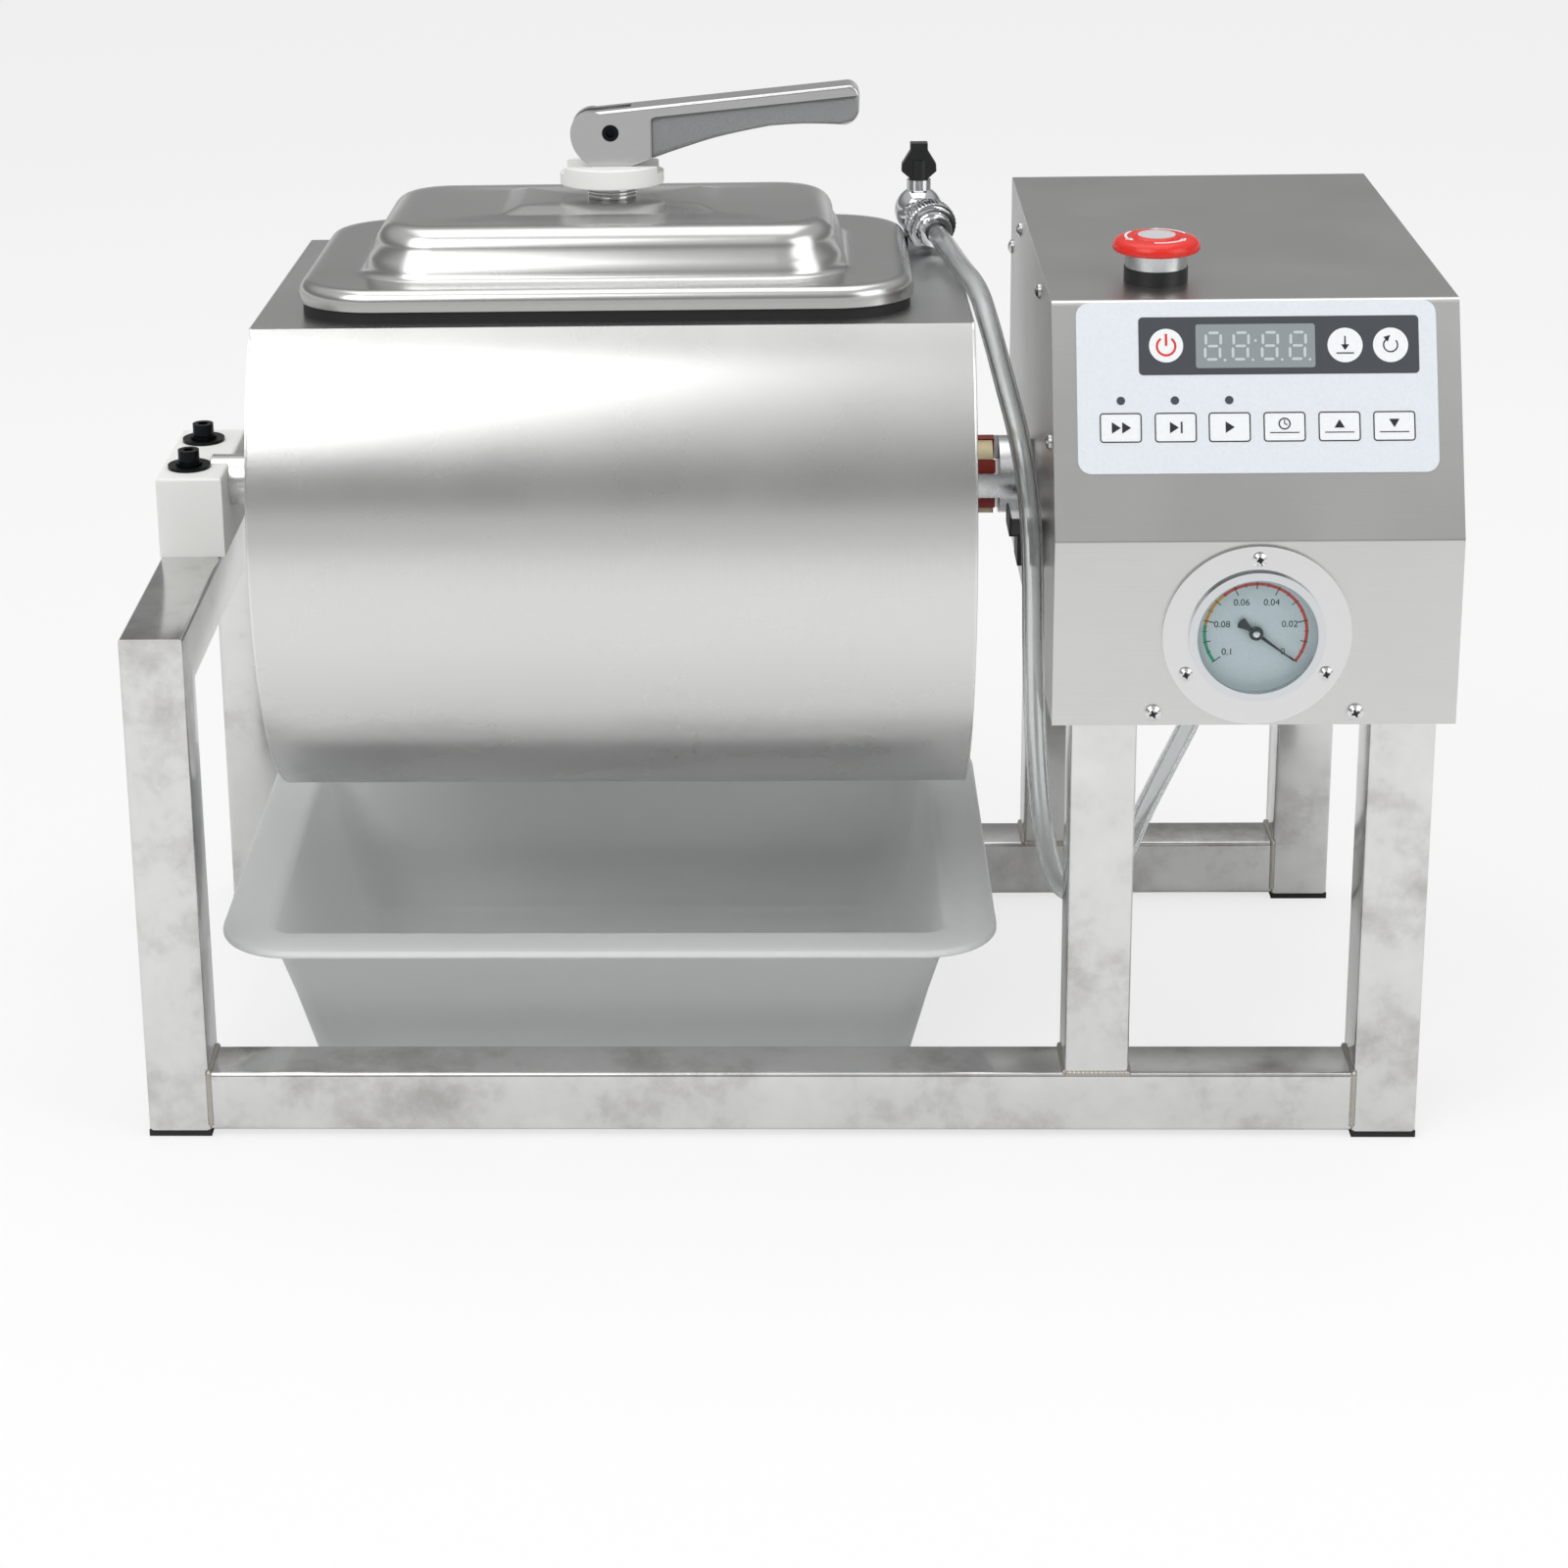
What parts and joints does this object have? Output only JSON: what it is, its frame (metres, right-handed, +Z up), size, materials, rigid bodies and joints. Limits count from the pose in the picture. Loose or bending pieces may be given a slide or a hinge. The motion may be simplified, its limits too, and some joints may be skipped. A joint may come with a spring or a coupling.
{
  "type": "vacuum tumbler",
  "caption": "Vacuum marinating tumbler: a D-section drum with a clamped lid turns between a bearing block and a control housing on a tube frame.",
  "frame": {"origin": "on the bench, under the middle of the frame and of the overall box", "axes": "+X from the bearing block towards the control housing along the drum's axis, -Y towards the operator, +Z up"},
  "size_m": [0.6102, 0.317, 0.4755],
  "materials": {
    "stainless_brushed": "fine brushed",
    "stainless_frame": "satin",
    "stainless_bright": "polished",
    "chromed_brass": "polished",
    "black_oxide_steel": "matt",
    "white_nylon": "satin",
    "black_rubber": "matt",
    "red_elastomer": "satin",
    "alloy_hub": "turned",
    "tan_hub": "cast",
    "black_plastic": "satin",
    "red_plastic": "gloss",
    "grey_film": "satin",
    "dark_window": "gloss",
    "circuit_board": "matt",
    "dial_card": "matt",
    "clear_glass": "clear",
    "clear_tube": "clear",
    "cast_alloy": "painted",
    "motor_can": "painted",
    "milky_plastic": "translucent"
  },
  "bodies": {
    "base": {"left_front_leg": "stainless_frame", "left_rear_leg": "stainless_frame", "left_top_rail": "stainless_frame", "middle_front_leg": "stainless_frame", "middle_rear_leg": "stainless_frame", "middle_top_rail": "stainless_frame", "right_front_leg": "stainless_frame", "right_rear_leg": "stainless_frame", "right_top_rail": "stainless_frame", "front_rail": "stainless_frame", "rear_rail": "stainless_frame", "foot_caps": "black_rubber", "bearing_block": "white_nylon", "block_bolts": "black_oxide_steel", "housing_cover": "stainless_brushed", "housing_left_panel": "stainless_brushed", "housing_right_panel": "stainless_brushed", "housing_base": "stainless_brushed", "mount_plate": "stainless_brushed", "housing_screws": "stainless_bright", "keypad_membrane": "grey_film", "display_window": "dark_window", "control_board": "circuit_board", "gauge_flange": "stainless_bright", "gauge_case": "stainless_bright", "gauge_dial": "dial_card", "gauge_glass": "clear_glass", "gauge_screws": "stainless_bright", "estop_lower_collar": "black_plastic", "estop_upper_collar": "stainless_bright", "estop_contact_block": "black_plastic", "gearbox": "cast_alloy", "drive_motor": "motor_can", "vacuum_pump": "motor_can", "vacuum_port": "chromed_brass", "power_inlet": "black_plastic", "position_sensor": "black_plastic", "vacuum_hose": "clear_tube"},
    "drum": {"drum_shell": "stainless_brushed", "drum_left_end": "stainless_brushed", "drum_right_end": "stainless_brushed", "drum_baffles": "stainless_brushed", "driven_hub": "tan_hub", "lid": "stainless_bright", "lid_gasket": "black_rubber", "threaded_bush": "stainless_bright", "valve_body": "chromed_brass", "hose_coupler": "chromed_brass"},
    "drive": {"drive_hub": "alloy_hub", "coupling_spider": "red_elastomer"},
    "valve": {"valve_handle": "black_plastic"},
    "clamp": {"pressure_disc": "white_nylon", "clamp_rod": "stainless_bright", "lever_pin": "stainless_bright"},
    "lever": {"clamp_lever": "stainless_brushed"},
    "tray": {"drip_tray": "milky_plastic"},
    "stop_stem": {"estop_stem": "black_plastic"},
    "stop_head": {"estop_head": "red_plastic"},
    "needle": {"gauge_needle": "black_plastic"}
  },
  "joints": [
    {"name": "drum_spin", "type": "hinge", "parent": "base", "child": "drum", "pos_m": [0, 0, 0.2816], "axis": [1, 0, 0], "continuous": true, "deforming": ["vacuum_hose"]},
    {"name": "drive_spin", "type": "hinge", "parent": "base", "child": "drive", "pos_m": [0.11, 0, 0.2816], "axis": [1, 0, 0], "continuous": true},
    {"name": "valve_turn", "type": "hinge", "parent": "drum", "child": "valve", "pos_m": [0.0703, 0.08249, 0.40599], "axis": [0, 0.0488, 0.9988], "range_deg": [0, 90]},
    {"name": "clamp_turn", "type": "hinge", "parent": "drum", "child": "clamp", "pos_m": [-0.0805, 0.00733, 0.43142], "axis": [0, 0.0488, 0.9988], "range_deg": [0, 90]},
    {"name": "lever_swing", "type": "hinge", "parent": "clamp", "child": "lever", "pos_m": [-0.0805, 0.0084, 0.45339], "axis": [0, -0.9988, 0.0488], "range_deg": [0, 180]},
    {"name": "tray_lift", "type": "slide", "parent": "base", "child": "tray", "axis": [0, 0, 1], "range_m": [0, 0.04]},
    {"name": "stop_push", "type": "slide", "parent": "base", "child": "stop_stem", "axis": [0, 0, -1], "range_m": [0, 0.004]},
    {"name": "stop_twist", "type": "hinge", "parent": "stop_stem", "child": "stop_head", "pos_m": [0.1725, -0.0743, 0.415], "axis": [0, 0, -1], "range_deg": [0, 30], "stiffness_Nm_per_rad": 0.02},
    {"name": "needle_turn", "type": "hinge", "parent": "base", "child": "needle", "pos_m": [0.213, -0.152, 0.2524], "axis": [0, -1, 0], "range_deg": [0, 254], "stiffness_Nm_per_rad": 0.003}
  ],
  "couplings": [
    {"joint": "drive_spin", "follows": "drum_spin", "ratio": 1}
  ]
}
